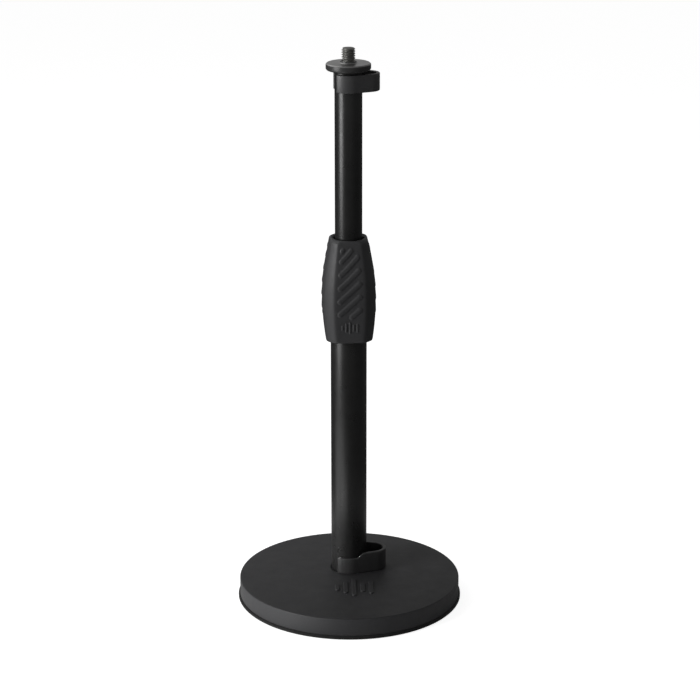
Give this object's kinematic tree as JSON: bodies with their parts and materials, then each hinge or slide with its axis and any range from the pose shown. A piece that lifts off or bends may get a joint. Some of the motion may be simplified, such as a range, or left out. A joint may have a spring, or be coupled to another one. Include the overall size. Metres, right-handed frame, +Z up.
{
  "type": "desktop microphone stand",
  "caption": "Height-adjustable desktop microphone stand with a round weighted base, twist-clutch telescoping tube, threaded microphone stud with lock disc, and cable clips.",
  "frame": {"origin": "centre of the round base on the table plane, the underside of its rubber ring", "axes": "+Z up along the tubes, -Y to the front of the stand (raised bars on the base), +Y to the back where the tube stands 14 mm behind the base centre, +X to the side the cable clips point to"},
  "size_m": [0.1598, 0.1598, 0.3952],
  "materials": {
    "base_coat": "black textured powder coat on cast iron",
    "black_rubber": "matt black rubber",
    "zinc_steel": "zinc-plated fasteners",
    "bare_steel": "turned steel",
    "tube_coat": "satin black enamel on drawn steel tube",
    "collar_plastic": "glass-filled black plastic",
    "nylon": "natural nylon",
    "clutch_plastic": "black plastic",
    "grip_rubber": "soft-touch black rubber, ribbed",
    "black_steel": "blackened steel",
    "stud_steel": "dark nickel-plated steel thread",
    "black_plastic": "black nylon washer",
    "disc_steel": "dark nickel-plated turned steel",
    "clip_plastic": "semi-gloss black plastic"
  },
  "bodies": {
    "stand": {"base_plate": "base_coat", "foot_ring": "black_rubber", "base_bolt": "zinc_steel", "base_washer": "zinc_steel", "spring_washer": "zinc_steel", "tube_foot_insert": "bare_steel", "lower_tube": "tube_coat", "clutch_collar": "collar_plastic", "collar_pins": "zinc_steel"},
    "slip_ring": {"thrust_ring": "nylon"},
    "grip": {"clutch_nut": "clutch_plastic", "grip_sleeve": "grip_rubber"},
    "collet": {"collet": "nylon"},
    "mast": {"upper_tube": "tube_coat", "guide_bush": "nylon", "bush_rivet": "zinc_steel", "tube_plug": "black_steel", "thread_stud": "stud_steel"},
    "disc_washer": {"disc_washer": "black_plastic"},
    "lock_disc": {"lock_disc": "disc_steel"},
    "upper_clip": {"upper_cable_clip": "clip_plastic"},
    "lower_clip": {"lower_cable_clip": "clip_plastic"}
  },
  "joints": [
    {"name": "clutch_rise", "type": "slide", "parent": "stand", "child": "slip_ring", "axis": [0, 0, 1], "range_m": [0, 0.003]},
    {"name": "clutch_twist", "type": "hinge", "parent": "slip_ring", "child": "grip", "pos_m": [0, 0.014, 0.226], "axis": [0, 0, 1], "range_deg": [0, 540]},
    {"name": "mast_turn", "type": "hinge", "parent": "stand", "child": "collet", "pos_m": [0, 0.014, 0.225], "axis": [0, 0, 1], "continuous": true},
    {"name": "mast_slide", "type": "slide", "parent": "collet", "child": "mast", "axis": [0, 0, 1], "range_m": [-0.098, 0.028]},
    {"name": "disc_rise", "type": "slide", "parent": "mast", "child": "disc_washer", "axis": [0, 0, 1], "range_m": [0, 0.008]},
    {"name": "disc_turn", "type": "hinge", "parent": "disc_washer", "child": "lock_disc", "pos_m": [0, 0.014, 0.3825], "axis": [0, 0, 1], "range_deg": [0, 1800]},
    {"name": "upper_clip_swivel", "type": "hinge", "parent": "mast", "child": "upper_clip", "pos_m": [0, 0.014, 0.372], "axis": [0, 0, 1], "continuous": true},
    {"name": "lower_clip_slide", "type": "slide", "parent": "stand", "child": "lower_clip", "axis": [0, 0, 1], "range_m": [0, 0.158]}
  ],
  "couplings": [
    {"joint": "clutch_rise", "follows": "clutch_twist", "m_per_rad": 0.00031831},
    {"joint": "disc_rise", "follows": "disc_turn", "m_per_rad": 0.00025266}
  ]
}
